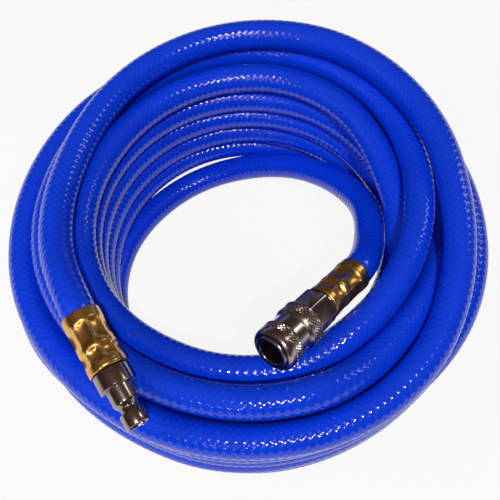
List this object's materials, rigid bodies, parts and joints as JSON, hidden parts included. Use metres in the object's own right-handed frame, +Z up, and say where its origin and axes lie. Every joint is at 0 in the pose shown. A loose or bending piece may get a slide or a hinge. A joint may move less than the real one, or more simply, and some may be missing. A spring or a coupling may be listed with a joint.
{
  "type": "coiled air hose",
  "caption": "Coiled reinforced air hose with crimped ferrules, a push-in plug on one end and a sprung quick coupler with a knurled sliding sleeve on the other.",
  "frame": {"origin": "middle of the part's outline on the ground, at the height of the flats the coil stands on", "axes": "+Z up along the coil's axis, -Y the way the quick coupler's mouth faces in plan, +X towards the coupler's side of the coil"},
  "size_m": [0.2458, 0.2454, 0.1216],
  "materials": {
    "hose": "glossy, fine braid showing through",
    "brass": "polished",
    "nickel_plate": "bright nickel plate",
    "seal_rubber": "matt"
  },
  "bodies": {
    "hose_assembly": {"hose": "hose", "plug_ferrule": "brass", "plug_body": "nickel_plate", "coupler_ferrule": "brass", "coupler_tail": "nickel_plate", "coupler_body": "nickel_plate", "sleeve_retaining_ring": "nickel_plate", "sleeve_spring": "nickel_plate", "valve_spring": "nickel_plate", "socket_seal": "seal_rubber", "tail_seal": "seal_rubber"},
    "sleeve": {"coupler_sleeve": "nickel_plate"},
    "valve": {"valve_poppet": "brass", "valve_seal": "seal_rubber"},
    "ball_1": {"locking_ball_1": "nickel_plate"},
    "ball_2": {"locking_ball_2": "nickel_plate"},
    "ball_3": {"locking_ball_3": "nickel_plate"},
    "ball_4": {"locking_ball_4": "nickel_plate"},
    "ball_5": {"locking_ball_5": "nickel_plate"},
    "ball_6": {"locking_ball_6": "nickel_plate"}
  },
  "joints": [
    {"name": "sleeve_slide", "type": "slide", "parent": "hose_assembly", "child": "sleeve", "axis": [0, 0.9432, -0.3322], "range_m": [0, 0.0035], "stiffness_N_per_m": 1500, "springref_m": -0.004, "deforming": ["sleeve_spring"]},
    {"name": "valve_slide", "type": "slide", "parent": "hose_assembly", "child": "valve", "axis": [0, 0.9432, -0.3322], "range_m": [0, 0.004], "stiffness_N_per_m": 800, "springref_m": -0.003, "deforming": ["valve_spring"]},
    {"name": "ball_1_slide", "type": "slide", "parent": "hose_assembly", "child": "ball_1", "axis": [-1, 0, 0], "range_m": [0, 0.0008]},
    {"name": "ball_2_slide", "type": "slide", "parent": "hose_assembly", "child": "ball_2", "axis": [-0.5, 0.2877, 0.8169], "range_m": [0, 0.0008]},
    {"name": "ball_3_slide", "type": "slide", "parent": "hose_assembly", "child": "ball_3", "axis": [0.5, 0.2877, 0.8169], "range_m": [0, 0.0008]},
    {"name": "ball_4_slide", "type": "slide", "parent": "hose_assembly", "child": "ball_4", "axis": [1, 0, 0], "range_m": [0, 0.0008]},
    {"name": "ball_5_slide", "type": "slide", "parent": "hose_assembly", "child": "ball_5", "axis": [0.5, -0.2877, -0.8169], "range_m": [0, 0.0008]},
    {"name": "ball_6_slide", "type": "slide", "parent": "hose_assembly", "child": "ball_6", "axis": [-0.5, -0.2877, -0.8169], "range_m": [0, 0.0008]}
  ],
  "couplings": [
    {"joint": "ball_1_slide", "follows": "sleeve_slide", "ratio": 0.228},
    {"joint": "ball_2_slide", "follows": "sleeve_slide", "ratio": 0.228},
    {"joint": "ball_3_slide", "follows": "sleeve_slide", "ratio": 0.228},
    {"joint": "ball_4_slide", "follows": "sleeve_slide", "ratio": 0.228},
    {"joint": "ball_5_slide", "follows": "sleeve_slide", "ratio": 0.228},
    {"joint": "ball_6_slide", "follows": "sleeve_slide", "ratio": 0.228}
  ]
}
